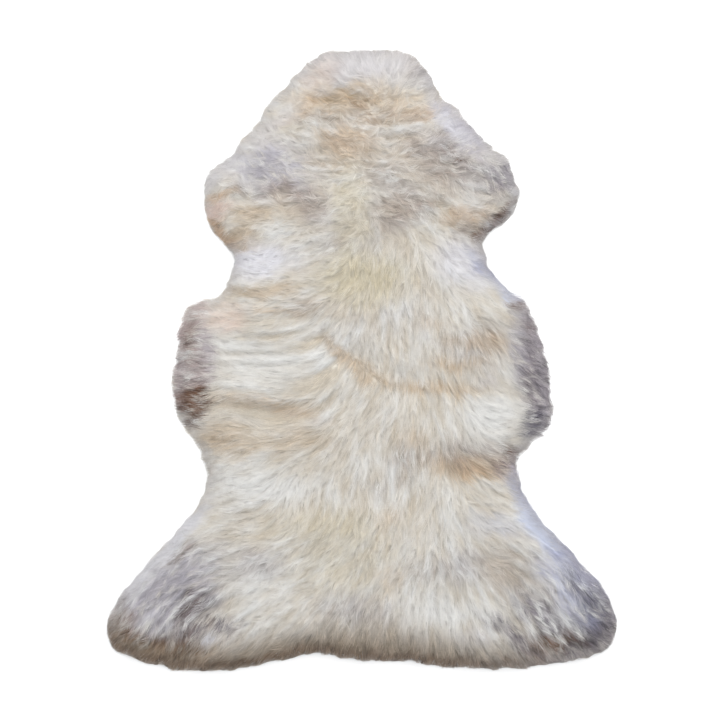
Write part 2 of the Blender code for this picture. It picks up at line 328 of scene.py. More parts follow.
def read_nap():
    """The way the wool lies at each point of the net, and how unruly it is there."""
    lies = np.zeros((field_columns * field_rows, 3))
    weights = np.full((len(lies), 1), 1e-6)
    for y, unruly, headings in NAP.values():
        for x, heading in headings.items():
            away = np.linalg.norm(field_points() - MM * np.array([x, y]), axis=1)
            weight = np.exp(-0.5 * (away / NAP_REACH) ** 2)[:, None]
            angle = math.radians(heading)
            lies += weight * np.array([math.cos(angle), math.sin(angle), unruly])
            weights += weight
    lies = (lies / weights).reshape(field_columns, field_rows, 3)
    return lies[:, :, :2], lies[:, :, 2]


def read_lean():
    """How far the wool leans away from the parting, to either side, at each point of the net."""
    run = PARTING_END - PARTING_START
    share = np.clip((field_points() - PARTING_START) @ run / (run @ run), 0.0, 1.0)
    away = field_points() - PARTING_START - share[:, None] * run
    nearness = np.exp(-((np.linalg.norm(away, axis=1) / PARTING_HALF_WIDTH) ** 2))
    return (LEAN * nearness[:, None] * unit(away)).reshape(field_columns, field_rows, 2)


def turned(vectors, angles):
    """Vectors turned to the left by an angle each."""
    x, y = vectors.T
    cos, sin = np.cos(angles), np.sin(angles)
    return np.stack([x * cos - y * sin, x * sin + y * cos], axis=1)


def combed_noise(points, size, reach, seed):
    """Soft noise drawn out along the nap, as a comb draws out wool: bands one size wide."""
    steps = 7
    total, spread = soft_noise(points, size, seed), 1
    for way in (-1.0, 1.0):
        at = points
        for _ in range(steps):
            at = at + way * (reach / steps) * unit(read_field(nap, at))
            total = total + soft_noise(at, size, seed)
            spread += 1
    return total / math.sqrt(spread)


RIPPLE_COLUMNS = ("x", "y", "half_length", "half_width", "size", "reach", "strength")
RIPPLES = {  # in mm: where the wool lies in waves, how wide and long they are, and how plain to see
    "left ribs": (-122, -20, 150, 120, 9, 60, 1.3),
    "neck": (-10, 350, 150, 90, 6, 18, 0.8),
    "left leg": (-300, -370, 120, 100, 7, 26, 1.4),
    "right leg": (290, -370, 120, 100, 7, 26, 0.9),
}
FAINT_RIPPLES = {"size": 7, "reach": 16, "strength": 0.45}  # what the rest of the fleece has
RIPPLE_FADE = (0.5, 1.1)  # of a place's half sizes: where its own ripples start to fade, and end
RIPPLE_LIMIT = 1.4  # of the highest crest and the deepest trough


def read_ripple():
    """How far the wool's surface swells up, or in below 0, at each point of the net: about -1 to 1."""
    points = field_points()

    def waves(kind):
        return kind["strength"] * combed_noise(points, kind["size"] * MM, kind["reach"] * MM, seed=61)

    swell = waves(FAINT_RIPPLES)
    for row in RIPPLES.values():
        place = dict(zip(RIPPLE_COLUMNS, row))
        away = (points - MM * np.array([place["x"], place["y"]])) / MM
        away /= np.array([place["half_length"], place["half_width"]])
        share = 1.0 - eased(np.linalg.norm(away, axis=1), *RIPPLE_FADE)
        swell += share * (waves(place) - swell)
    return np.clip(swell, -RIPPLE_LIMIT, RIPPLE_LIMIT).reshape(field_columns, field_rows)


nap, unruliness = read_nap()
lean = read_lean()
ripple = read_ripple()

# --------------------------------------------------------------------------------------------------
# The fleece's colours: undyed wool of a pied sheep, cream on the back and rump, and grey to brown on
# the shoulders, flanks and feet. A table lays soft patches one over another, each with its middle and
# half sizes in mm and its slant in degrees.
WOOL_COLOURS = {  # each colour, and how much it is broken up from tuft to tuft
    "white": ("f1f0ed", 0.2),
    "bone": ("e5e2e2", 0.2),
    "frost": ("f2f1f3", 0.2),
    "cream": ("e3dbcd", 0.3),
    "straw": ("e3dbc5", 0.25),
    "tan": ("d6c2a6", 0.3),
    "ginger": ("d6b997", 0.3),
    "blush": ("ecdcd1", 0.4),
    "lilac": ("d9d6db", 0.7),
    "taupe": ("aaa1a4", 0.65),
    "smoke": ("a49ea3", 1.0),
    "rose": ("c6b8b5", 1.2),
    "slate": ("c2c5db", 0.6),
    "ice": ("e6eaf6", 0.3),
    "umber": ("846857", 1.0),
    "dusk": ("7f7a83", 0.9),
}
# Some patches are painted shade in the fleece's folds and creases, as noted where they stand.
PATCH_COLUMNS = ("x", "y", "half_length", "half_width", "slant", "colour", "strength")
PATCHES = {
    "neck end": (5, 468, 104, 36, 0, "bone", 0.9),
    "neck end, left": (-62, 452, 40, 22, 50, "blush", 0.35),
    "neck end, right": (90, 455, 30, 22, -50, "taupe", 0.3),
    "neck band": (-10, 416, 96, 24, 0, "tan", 0.75),
    "neck band, left arm": (-98, 394, 50, 15, 28, "ginger", 0.25),
    "neck band, right arm": (92, 394, 50, 13, 8, "ginger", 0.45),
    "neck band, middle": (0, 412, 26, 12, 0, "umber", 0.25),
    "neck band, low": (-20, 384, 80, 18, 0, "umber", 0.22),
    "neck band, low middle": (14, 382, 28, 12, 0, "ginger", 0.3),
    "neck band, pale tuft": (-53, 427, 17, 10, 0, "bone", 0.35),
    "neck band, low right": (60, 395, 24, 10, 0, "umber", 0.16),
    "nape": (-22, 345, 42, 20, 0, "ginger", 0.35),
    "nape, grey": (-10, 330, 110, 40, 0, "taupe", 0.12),
    "nape, tan": (0, 335, 100, 38, 0, "tan", 0.2),
    "nape, left": (-56, 354, 24, 9, -30, "tan", 0.35),
    "left cheek": (-134, 374, 56, 18, 44, "bone", 0.6),
    "right cheek": (152, 372, 74, 24, -45, "lilac", 1.0),
    "right cheek, pale wool": (138, 376, 50, 14, -45, "frost", 0.5),
    "left shoulder": (-145, 304, 68, 44, -10, "lilac", 0.8),
    "left shoulder, middle": (-155, 302, 36, 22, -10, "smoke", 0.25),
    "left shoulder, low": (-112, 264, 56, 18, -5, "taupe", 0.42),
    "left shoulder, inner": (-79, 238, 34, 20, -20, "taupe", 0.4),
    "left shoulder, low tan": (-108, 250, 70, 30, -5, "tan", 0.25),
    "left shoulder, rim": (-196, 313, 30, 22, 20, "frost", 0.4),
    # painted shade in the crease beside the left flap
    "left shoulder, outer fold": (-195, 268, 20, 9, 0, "umber", 0.18),
    "left flap, upper": (-235, 294, 28, 18, 20, "bone", 0.6),
    # painted shadow in the flap's fold, over the wool's own ginger
    "left flap, fold shadow": (-217, 266, 26, 8, 5, "ginger", 0.6),
    "left flap, middle": (-228, 242, 30, 18, 0, "blush", 1.2),
    "left flap, rim": (-222, 201, 38, 14, -48, "ginger", 1.3),
    "left flap, base": (-190, 195, 36, 22, -20, "tan", 0.55),
    "left flap, inner": (-170, 232, 30, 17, 10, "tan", 0.45),
    "right shoulder": (143, 313, 88, 42, -25, "taupe", 0.45),
    "right shoulder, tan": (112, 308, 60, 34, -20, "tan", 0.25),
    "right shoulder, tuft": (127, 349, 20, 12, -40, "umber", 0.25),
    "right shoulder, second tuft": (151, 326, 17, 10, -30, "umber", 0.4),
    "right shoulder, pale wool": (102, 357, 30, 14, -30, "frost", 0.3),
    "right shoulder, third tuft": (79, 337, 18, 10, 0, "umber", 0.15),
    "right flap, end": (225, 290, 36, 32, -30, "smoke", 0.65),
    "right flap, tan": (170, 234, 48, 16, 10, "ginger", 0.4),
    # painted shade in the crease under the right flap
    "right flap, low": (180, 206, 36, 16, 10, "umber", 0.38),
    "right flap, rim": (222, 229, 36, 10, 40, "umber", 0.75),
    "right flap, inner rim": (204, 228, 17, 10, 30, "umber", 0.25),
    "right shoulder, low": (110, 256, 38, 22, 20, "umber", 0.16),
    "right shoulder, inner": (64, 244, 50, 34, 20, "taupe", 0.5),
    "right shoulder, inner tan": (58, 246, 44, 30, 20, "tan", 0.3),
    "shoulders, middle": (46, 286, 44, 26, 0, "umber", 0.18),
    "spine": (-14, 233, 28, 90, 0, "straw", 0.5),
    "withers, grey": (-14, 200, 80, 60, 0, "taupe", 0.1),
    "back, grey": (30, 80, 90, 60, 0, "taupe", 0.08),
    "withers, left of spine": (-39, 175, 24, 15, 0, "umber", 0.14),
    "middle of back": (6, 136, 70, 44, 0, "straw", 0.85),
    "left ribs, high": (-160, 160, 68, 30, 0, "frost", 1.1),
    "withers": (-69, 180, 32, 24, 10, "white", 0.25),
    "left ribs, high tan": (-155, 112, 60, 12, 4, "tan", 0.45),
    "left ribs, second tan": (-138, 83, 58, 9, 0, "tan", 0.5),
    "left ribs, third tan": (-79, 97, 24, 11, 0, "tan", 0.35),
    "left ribs, tan tuft": (-192, 176, 24, 9, 0, "tan", 0.5),
    "left ribs, outer": (-214, 67, 34, 24, 0, "blush", 0.6),
    "right ribs, high": (160, 157, 52, 44, -20, "frost", 0.85),
    "right ribs, lilac": (200, 140, 60, 26, -38, "lilac", 0.4),
    "right ribs, high grey": (143, 176, 18, 12, 0, "taupe", 0.22),
    "right ribs, cream": (108, 67, 28, 13, 0, "tan", 0.35),
    "right ribs, edge": (232, 124, 76, 16, -40, "slate", 1.0),
    "right ribs, pale edge": (226, 112, 40, 16, -40, "ice", 0.8),
    "left ribs, inner shade": (-88, 92, 42, 20, 0, "umber", 0.12),
    "left ribs": (-159, -9, 88, 38, 0, "white", 0.75),
    "left ribs, inner": (-58, 56, 46, 14, 12, "white", 0.55),
    # The tan here is partly the wool's darker roots, where it parts, and partly painted shade of the
    # crease.
    "parting of the back": (-10, -2, 66, 15, -37, "tan", 0.52),
    "parting's upper end": (-44, 28, 30, 14, -37, "tan", 0.4),
    "fold of the right side": (112, -36, 90, 14, -2, "tan", 0.6),
    "right ribs, tan": (190, 32, 58, 14, -4, "tan", 0.65),
    "right ribs, grey": (196, 20, 62, 44, 0, "taupe", 0.2),
    "right ribs, low tan": (150, 2, 52, 10, 0, "tan", 0.6),
    "right ribs, low": (203, -85, 58, 34, 0, "white", 0.95),
    "right ribs, pale tuft": (198, -31, 18, 9, 0, "bone", 0.55),
    "left ribs, low tan": (-155, -68, 92, 14, -2, "tan", 0.48),
    "left ribs, low ginger": (-98, -86, 52, 11, -6, "ginger", 0.25),
    "left waist": (-214, -130, 52, 32, -10, "tan", 0.55),
    "left waist, inner": (-98, -130, 70, 24, 6, "tan", 0.3),
    "left waist, low": (-147, -197, 94, 28, 2, "white", 0.9),
    "middle of waist": (27, -165, 62, 30, 0, "white", 0.15),
    "waist, right of middle": (82, -146, 42, 30, 0, "umber", 0.18),
    "waist, low": (54, -188, 40, 22, 0, "umber", 0.12),
    "waist, cream": (84, -115, 30, 15, 0, "tan", 0.35),
    "right waist": (180, -165, 78, 24, -6, "tan", 1.05),
    "right waist, grey": (180, -150, 80, 30, -6, "taupe", 0.25),
    "right waist, spot": (179, -175, 24, 13, 0, "ginger", 0.15),
    "right waist, edge": (232, -157, 18, 20, 0, "umber", 0.75),
    "rump, high": (-50, -258, 90, 30, 0, "straw", 0.4),
    "rump": (-26, -315, 80, 58, 10, "straw", 0.3),
    "rump, right cream": (47, -342, 26, 15, 0, "tan", 0.32),
    "loin, cream": (40, -246, 28, 17, 0, "tan", 0.32),
    "rump's end": (143, -398, 94, 24, 0, "white", 0.8),
    "right thigh, grey": (158, -324, 40, 30, 0, "taupe", 0.25),
    "right thigh, inner grey": (100, -330, 36, 26, 0, "umber", 0.11),
    "right hock": (221, -331, 54, 24, -20, "tan", 0.2),
    "right hock, grey": (240, -340, 70, 44, -20, "taupe", 0.2),
    "tail, middle": (-5, -397, 70, 33, 0, "taupe", 0.25),
    "tail, middle brown": (-2, -456, 66, 15, 0, "umber", 0.16),
    "tail, pale right": (175, -440, 36, 16, 0, "frost", 0.5),
    "left thigh": (-171, -347, 56, 56, 0, "white", 0.4),
    "left thigh, grey": (-163, -322, 42, 28, 0, "taupe", 0.28),
    "left hock": (-235, -323, 44, 50, 20, "smoke", 0.15),
    "left leg, pale wool": (-314, -379, 104, 66, 40, "lilac", 0.9),
    "left leg": (-316, -379, 86, 54, 40, "smoke", 0.3),
    "left leg, edge": (-308, -303, 110, 13, 46, "frost", 0.9),
    "left leg, upper edge": (-286, -277, 44, 14, 46, "frost", 0.6),
    "left leg, inner grey": (-242, -372, 32, 20, 40, "smoke", 0.4),
    "left leg, spot": (-288, -307, 30, 12, 20, "umber", 0.45),
    "left leg, streak": (-272, -412, 60, 24, 60, "dusk", 0.5),
    "left leg, brown strands": (-274, -412, 56, 22, 60, "umber", 0.3),
    "left leg, low spot": (-236, -419, 20, 12, 0, "umber", 0.45),
    "left leg, inner smoke": (-213, -419, 26, 18, 0, "smoke", 0.5),
    "left leg, low smoke": (-252, -432, 26, 14, 10, "smoke", 0.5),
    "left leg, pale streak": (-234, -447, 34, 11, 10, "lilac", 0.3),
    "left leg, bright tuft": (-236, -448, 15, 9, 10, "ice", 0.5),
    "left leg, second pale streak": (-340, -405, 32, 10, 40, "lilac", 0.6),
    "left foot": (-378, -419, 28, 38, 0, "umber", 0.52),
    "left foot's end": (-316, -458, 98, 20, -8, "umber", 0.9),
    "right leg, edge": (322, -290, 140, 26, -51, "slate", 1.5),
    "right leg, pale edge": (278, -260, 56, 20, -51, "ice", 1.1),
    "right thigh, pale wool": (222, -262, 60, 24, -10, "ice", 0.4),
    "right leg": (316, -352, 54, 32, -50, "slate", 0.6),
    "right leg, low": (288, -411, 66, 30, -40, "smoke", 0.7),
    "right leg, dark strands": (360, -368, 62, 22, -52, "dusk", 0.6),
    "right leg, edge tuft": (274, -307, 15, 11, -51, "smoke", 0.35),
    "right foot": (372, -411, 42, 42, -50, "dusk", 0.85),
    "right foot, slate": (345, -395, 44, 30, -45, "slate", 0.3),
    "right foot's end": (358, -451, 68, 28, 22, "dusk", 0.75),
    "right foot's brown tips": (300, -451, 50, 18, 10, "umber", 0.75),
    "right foot, inner dark": (306, -434, 18, 13, 0, "dusk", 0.5),
    "right foot, brown rim": (258, -478, 72, 18, 4, "umber", 0.35),
    "right foot, inner streak": (242, -435, 62, 17, -35, "smoke", 0.6),
    "left flank": (-274, 15, 34, 82, 0, "rose", 2.6),
    "left flank, upper end": (-270, 80, 36, 24, 0, "blush", 0.35),
    "left flank, inner": (-242, 10, 12, 66, 0, "lilac", 0.4),
    "left flank, tuft": (-274, 30, 16, 34, 0, "umber", 0.5),
    "left flank, low": (-277, -24, 18, 22, 0, "dusk", 0.22),
    "left flank's foot": (-262, -72, 29, 29, 0, "umber", 2.0),
    "right flank": (277, -12, 29, 108, 9, "taupe", 1.5),
    "right flank's foot": (272, -99, 26, 17, 30, "dusk", 0.9),
    "right flank, upper tuft": (252, 84, 18, 9, 0, "umber", 0.6),
    "right flank, second tuft": (262, 58, 12, 9, 0, "umber", 0.45),
    "right flank, inner": (246, 20, 14, 66, 0, "lilac", 0.4),
    "right flank, dark": (281, -52, 23, 90, 9, "dusk", 0.38),
}
PATCH_FADE = (0.25, 1.4)  # of a patch's half sizes: where it starts to fade, and ends
# Layers of soft noise, each with its strength, size and seed.
WANDER_LAYERS = ((9.0 * MM, 30.0 * MM, 41), (4.0 * MM, 11.0 * MM, 43))  # moves the patches' edges
BROKEN_LAYERS = ((0.5, 9.0 * MM, 45), (0.2, 19.0 * MM, 46))  # breaks a patch up from tuft to tuft
DULL_LAYERS = ((0.7, 42.0 * MM, 48), (0.4, 14.0 * MM, 49))  # dulls the wool under the patches
DULL_MEAN, DULL_NOISE, DULL_OWN = 0.5, 0.3, 0.15  # how dull it is, and how much noise and tuft add
CREST_PAINTED_LIGHT, CREST_CLEAR = 0.45, 0.35  # painted light on a crest and painted shade in a trough: how much brighter a crest is, and freer of the patches


def layered_noise(points, layers, seed_step=0):
    """Soft noise in several layers, added up."""
    return sum(strength * soft_noise(points, size, seed + seed_step) for strength, size, seed in layers)


def wandering(points):
    """The points, each shifted a little, so that the edges of the patches wander."""
    return points + np.stack([layered_noise(points, WANDER_LAYERS, way) for way in (0, 1)], axis=1)


def patch_share(places, broken, patch, mottle):
    """How much of a patch's colour the wool at each place has."""
    slant = math.radians(patch["slant"])
    away = places - MM * np.array([patch["x"], patch["y"]])
    along = away @ np.array([math.cos(slant), math.sin(slant)]) / (MM * patch["half_length"])
    across = away @ np.array([-math.sin(slant), math.cos(slant)]) / (MM * patch["half_width"])
    share = np.minimum(patch["strength"] * (1.0 - eased(np.hypot(along, across), *PATCH_FADE)), 1.0)
    return np.clip(share * (1.0 + mottle * broken), 0.0, 1.0)


def wool_colour(points, own):
    """The linear colour of the wool at each point. A tuft's own number, about -1 to 1, sets it off from
    its neighbours, and its ripples have painted light on their crests and painted shade, a duller
    colour, in their troughs."""
    bright, dull = (np.array(srgb(WOOL_COLOURS[name][0]))[:3] for name in ("white", "cream"))
    crest = read_field(ripple, points)
    dullness = DULL_MEAN + DULL_NOISE * layered_noise(points, DULL_LAYERS)
    dullness = np.clip(dullness - CREST_PAINTED_LIGHT * crest + DULL_OWN * own, 0.0, 1.0)
    colour = bright + dullness[:, None] * (dull - bright)
    places = wandering(points)
    broken = layered_noise(points, BROKEN_LAYERS) + own - CREST_CLEAR * crest
    for row in PATCHES.values():
        patch = dict(zip(PATCH_COLUMNS, row))
        code, mottle = WOOL_COLOURS[patch["colour"]]
        share = patch_share(places, broken, patch, mottle)[:, None]
        colour += share * (np.array(srgb(code))[:3] - colour)
    return colour


# Painted shade of the rim, where the wool rolls over and down away from the light: a wide grey band and
# a thin dark one.
RIM_SHADE_BANDS = (("c8c3c8", 20.0 * MM, 0.35), ("8f878a", 7.0 * MM, 0.4))  # colour, depth and strength
RIM_RAGGED = 3.0 * MM  # how much further in or out a tuft's own number takes a band
RIGHT_SHADE, SHADE_RANGE = 600.0 * MM, (0.65, 1.35)  # the painted rim shade darkens from left to right
TIP_DEPTH, TIP_SHARE = 6.0 * MM, 0.45  # the last of the tips take only this share of a band
TAIL_SOIL_AND_SHADE = (("a99985", 72.0 * MM, 0.9), ("7a5f49", 22.0 * MM, 0.9))  # brown at the tail: partly the wool's own soiling, partly painted shade where the rim faces away from the lamp
TAIL_START, TAIL_RISE = -392.0 * MM, 70.0 * MM  # from here on, and in full this much further
TAIL_HALF_WIDTH = 90.0 * MM  # of its middle, where the soiling goes twice as far in
TAIL_LOSS, TAIL_FADE = 0.85, (120.0 * MM, 350.0 * MM)  # how much of it the right foot lacks


def shaded_and_soiled(colour, points, own):
    """The colour of the wool with painted shade round its rim, deeper to the right, and at the tail a
    brown that is partly soiling and partly painted shade.
    """
    x, y = points.T
    inside = read_field(edge_distance, points) + RIM_RAGGED * own
    tail = 1.0 - eased(y, TAIL_START - TAIL_RISE, TAIL_START)
    tail *= 1.0 - TAIL_LOSS * eased(x, *TAIL_FADE)
    deeper = 1.0 + np.exp(-((x / TAIL_HALF_WIDTH) ** 2))
    shaded = np.clip(1.0 + x / RIGHT_SHADE, *SHADE_RANGE)
    bands = [(*band, shaded, 1.0) for band in RIM_SHADE_BANDS]
    bands += [(*TAIL_SOIL_AND_SHADE[0], tail, deeper), (*TAIL_SOIL_AND_SHADE[1], tail, 1.0)]
    band_share_at_tips = TIP_SHARE + (1.0 - TIP_SHARE) * eased(inside, 0.0, TIP_DEPTH)
    for code, depth, strength, here, stretch in bands:
        share = band_share_at_tips * here * strength * (1.0 - eased(inside / stretch, 0.0, depth))
        colour = colour + share[:, None] * (np.array(srgb(code))[:3] - colour)
    return colour


# --------------------------------------------------------------------------------------------------
# The bed of wool: the dense lower part of the fleece, felted where it grows out of the hide, which
# holds the wisps up. It fills the rug's form a little under its surface, so it shows only between the
# wisps, and from below round the hide.
BED_DEPTH = 6.0 * MM  # from the wisps' surface down to the bed
BED_FULL = 22.0 * MM  # the height of the wool from which the bed lies all of BED_DEPTH lower
BED_FOOT = 3.0 * MM  # what is no higher than this stays as it is
BED_LEAST = 1.0 * MM  # the bed is no lower than this over its foot
BED_PULL = 7.0 * MM  # how far the bed's rim stays back from the wisps' tips
BED_EASE = 0.8  # how fast that pull falls off inwards


def lower_bed(shape):
    """Sets the bed's crown and rim back from the surface that the wisps will lie on."""
    places = np.array([v.co.xy for v in shape.verts])
    heights = np.array([v.co.z for v in shape.verts])
    back = np.maximum(0.0, BED_PULL - BED_EASE * read_field(edge_distance, places))
    places -= back[:, None] * read_field(outward, places)
    lowered = np.minimum(heights, read_field(wool_top, places))
    lowered -= BED_DEPTH * eased(heights, 0.0, BED_FULL)
    heights = np.where(heights > BED_FOOT, np.maximum(lowered, BED_LEAST), heights)
    for vertex, (x, y), z in zip(shape.verts, places, heights):
        vertex.co = (x, y, z)


def paint(mesh, name, values):
    """Stores a colour, or three numbers, at each point of a mesh for its material to read."""
    stored = mesh.attributes.new(name, "FLOAT_COLOR", "POINT")
    stored.data.foreach_set("color", np.hstack([values, np.ones((len(values), 1))]).ravel())


def felted_wool():
    """The matted foot of the fleece: matt and dense, and darker than its tips as painted shade of the
    deep wool under the wisps.
    """
    material, tree = new_material("sheep's wool, felted at the root")
    place = add_node(tree, "TexCoord").outputs["Object"]
    own = add_node(tree, "Attribute", attribute_name="fleece_colour").outputs["Color"]
    fibre_size = 2.0 * MM  # a strand, 0.03 mm thick, is too fine to show: these are small locks
    stretched = add_node(tree, "Mapping", {"Scale": (0.3, 1.0, 1.0)}, {"Vector": place})
    fibres = add_node(
        tree, "TexNoise", {"Scale": 1.0 / fibre_size, "Detail": 4.0, "Roughness": 0.6},
        {"Vector": stretched.outputs["Vector"]},
    )
    # painted shade: the bed's colour is darkened, and broken up by its fibres
    shade = add_node(
        tree, "MapRange", {"From Min": 0.3, "From Max": 0.7, "To Min": 0.75, "To Max": 0.92},
        {"Value": fibres.outputs["Fac"]},
    )
    colour = add_node(
        tree, "Mix", {"Factor": 1.0}, {"A": own, "B": shade.outputs["Result"]},
        data_type="RGBA", blend_type="MULTIPLY",
    )
    relief = add_node(
        tree, "Bump", {"Strength": 0.8, "Distance": 2.0 * MM}, {"Height": fibres.outputs["Fac"]}
    )
    shader = add_node(
        tree, "BsdfPrincipled",
        {"Roughness": 0.95, "Sheen Weight": 0.2, "Specular IOR Level": 0.1},
        {"Base Color": colour.outputs["Result"], "Normal": relief.outputs["Normal"]},
    )
    add_node(tree, "OutputMaterial", links={"Surface": shader.outputs["BSDF"]})
    return material


lower_bed(fleece_shape)
bed = as_piece("wool_bed", fleece_shape, felted_wool())
finer = bed.modifiers.new("finer", "SUBSURF")
finer.levels = finer.render_levels = 1
bed_places = np.array([v.co.xy for v in bed.data.vertices])
plain = np.zeros(len(bed_places))
paint(bed.data, "fleece_colour", shaded_and_soiled(wool_colour(bed_places, plain), bed_places, plain))
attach(bed, "root")
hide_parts("fleece")

# --------------------------------------------------------------------------------------------------
# The wisps: the fleece's open locks, each a bundle of long fine strands that curves over with the nap
# and comes to a point. Every tuft of wisps shares one path; at the rim they fall over onto the floor.
TUFT_PITCH = 5.6 * MM
TUFT_JITTER = 0.4  # of the pitch: how far a tuft's root may be off the net
TUFT_INSIDE = 4.0 * MM  # how far inside the line of the tips a tuft is rooted, at least
TUFT_RADIUS = 5.4 * MM
TUFT_LENGTH, TUFT_LENGTHS = 30.0 * MM, (0.75, 1.2)  # its usual length, and the range of shares of it
TUFT_TURN = 0.4  # radians: how much a tuft's own heading differs
TUFT_SHIFT = 10.0 * MM  # how far off a tuft may take its heading, so that neighbours cross
WISPS_PER_TUFT = 9
STATIONS = 4  # points along a tuft or a wisp, from its root to its tip
random = np.random.default_rng(5)


def tuft_roots():
    """A jittered staggered net of points inside the rim."""
    low, high = np.array(cad_box[0][:2]), np.array(cad_box[1][:2])
    columns = np.arange(low[0], high[0], TUFT_PITCH)
    rows = np.arange(low[1], high[1], TUFT_PITCH * math.sqrt(0.75))
    x, y = np.meshgrid(columns, rows)
    x[::2] += 0.5 * TUFT_PITCH
    roots = np.stack([x.ravel(), y.ravel()], axis=1)
    roots += random.uniform(-TUFT_JITTER, TUFT_JITTER, roots.shape) * TUFT_PITCH
    return roots[read_field(edge_distance, roots) > TUFT_INSIDE]


def drawn_in(points, beyond):
    """The points, each drawn in to lie no more than its distance beyond the line of the tips."""
    past = np.maximum(-read_field(edge_distance, points) - beyond, 0.0)
    return points - past[:, None] * unit(read_field(outward, points))


WAVE_LAYERS = ((0.35, 55.0 * MM, 50),)  # radians: how the nap winds everywhere
CURL_LAYERS = ((0.7, 24.0 * MM, 51), (0.7, 10.0 * MM, 52))  # radians: how it winds where it is unruly
CALM_TURN = 0.3  # how much of its own turn a tuft keeps where the wool is calm
RIM_SWING, RIM_SWING_FADE = 0.35, (2.0 * MM, 22.0 * MM)  # how far tufts near the rim turn outwards
NAP_LAID = (0.1, 0.8)  # how plain the nap is, from where the wool stands up to where it is laid flat
STANDING_REACH = 0.35  # how much of its reach a standing tuft keeps
CALM_REACH, UNRULY_LOSS = 1.1, 0.4  # of a tuft's length: how far calm wool reaches, unruly wool less


def combed_paths(roots, lengths, turns, shifts):
    """The way of each tuft over the rug, seen from above: it follows the nap of a place a little
    beside it, leans away from the parting and is more upright there, waves where the wool is unruly,
    and swings outwards near the rim."""
    path = [roots]
    for _ in range(STATIONS - 1):
        at = path[-1]
        unruly = read_field(unruliness, at)
        wave = layered_noise(at, WAVE_LAYERS) + unruly * (layered_noise(at, CURL_LAYERS) + turns)
        nap_here = unit(read_field(nap, at + shifts))
        lean_here = read_field(lean, at)
        way = turned(unit(nap_here + lean_here), wave + CALM_TURN * turns)
        swing = RIM_SWING * (1.0 - eased(read_field(edge_distance, at), *RIM_SWING_FADE))[:, None]
        way = unit(way * (1.0 - swing) + swing * unit(read_field(outward, at)))
        opened = np.linalg.norm(lean_here, axis=1) / LEAN
        laid = eased(np.linalg.norm(read_field(nap, at), axis=1), *NAP_LAID) * (1.0 - opened)
        reach = (STANDING_REACH + (1.0 - STANDING_REACH) * laid) * (CALM_REACH - UNRULY_LOSS * unruly)
        reach = reach * lengths
        path.append(drawn_in(at + (reach / (STATIONS - 1))[:, None] * way, 0.0))
    return np.stack(path, axis=1)


GATHER, GATHER_CURVE = 0.4, 0.8  # how far a tuft's wisps have come together at its tip, and how soon
GATHER_RIM = 12.0 * MM  # nearer to the rim than this they stay more open
ROOT_DEPTH, ROOT_CURVE = 6.0 * MM, 1.4  # a wisp's root under the wool's surface, and how it rises
RIPPLE_HEIGHT = 2.4 * MM
TUFT_DOME = 1.0 * MM  # how much higher a tuft's middle is
FULL_HEIGHT = 30.0 * MM  # thinner wool has less of the depth, the dome and the ripples
FLANK_SIDE = (235.0 * MM, 255.0 * MM)  # how far out the spiky wool of the two flanks begins
FLANK_MIDDLE, FLANK_HALF_LENGTH = -40.0 * MM, 150.0 * MM
STRAY, FLANK_STRAY = 0.9 * MM, 4.0 * MM  # how far tips go past their line, and further on the flanks
LYING_TIP, LYING_ROOT = 0.8 * MM, 1.0 * MM  # how high a wisp lies on the floor, and its root more
LYING_SPREAD = 0.4  # of a wisp's own layer


def wisp_paths(tufts, offsets, layers, strays):
    """The way of each wisp in space: its tuft's way, spread out at the root and gathered at the tip,
    just over the wool's surface at its tip and well under it at its root. It ends within its stray of
    the line of the tips, and it strays most on the flanks."""
    along = np.linspace(0.0, 1.0, STATIONS)
    at_rim = 1.0 - eased(read_field(edge_distance, tufts[:, -1]), 0.0, GATHER_RIM)
    spread = 1.0 - GATHER * (1.0 - at_rim)[:, None] * along[None, :] ** GATHER_CURVE
    ways = tufts + offsets[:, None, :] * spread[:, :, None]
    flat = ways.reshape(-1, 2)
    spiky = eased(np.abs(flat[:, 0]), *FLANK_SIDE)
    spiky *= np.abs(flat[:, 1] - FLANK_MIDDLE) < FLANK_HALF_LENGTH
    flat = drawn_in(flat, np.repeat(strays, STATIONS) * (STRAY + FLANK_STRAY * spiky))
    ways = flat.reshape(ways.shape)
    top = read_field(wool_top, flat).reshape(len(ways), STATIONS)
    swell = read_field(ripple, flat).reshape(len(ways), STATIONS)
    depth = ROOT_DEPTH * (1.0 - along) ** ROOT_CURVE
    dome = TUFT_DOME * (1.0 - (np.linalg.norm(offsets, axis=1) / TUFT_RADIUS) ** 2)
    fullness = eased(top, 0.0, FULL_HEIGHT)
    height = top + fullness * (RIPPLE_HEIGHT * swell - depth[None, :] + (dome + layers)[:, None])
    lying = LYING_TIP + LYING_SPREAD * np.abs(layers)[:, None] + LYING_ROOT * (1.0 - along)[None, :]
    return np.dstack([ways, np.maximum(height, lying)])


STATION_WIDTHS = np.array([0.9, 1.0, 0.75, 0.0])  # of the wisp's width
WISP_FLOOR = 0.2 * MM  # no wisp's edge is lower
SHADE_OF_SURFACE = 0.85  # how far a wisp takes the shade of the fleece's surface as against its own
CELL_ASPECT = 4.0  # how much longer than wide a wisp's cell on the UV map is
CELL_HALF_WIDTH, CELL_MARGIN = 0.35, 0.05  # of the cell: what a wisp takes up and leaves free


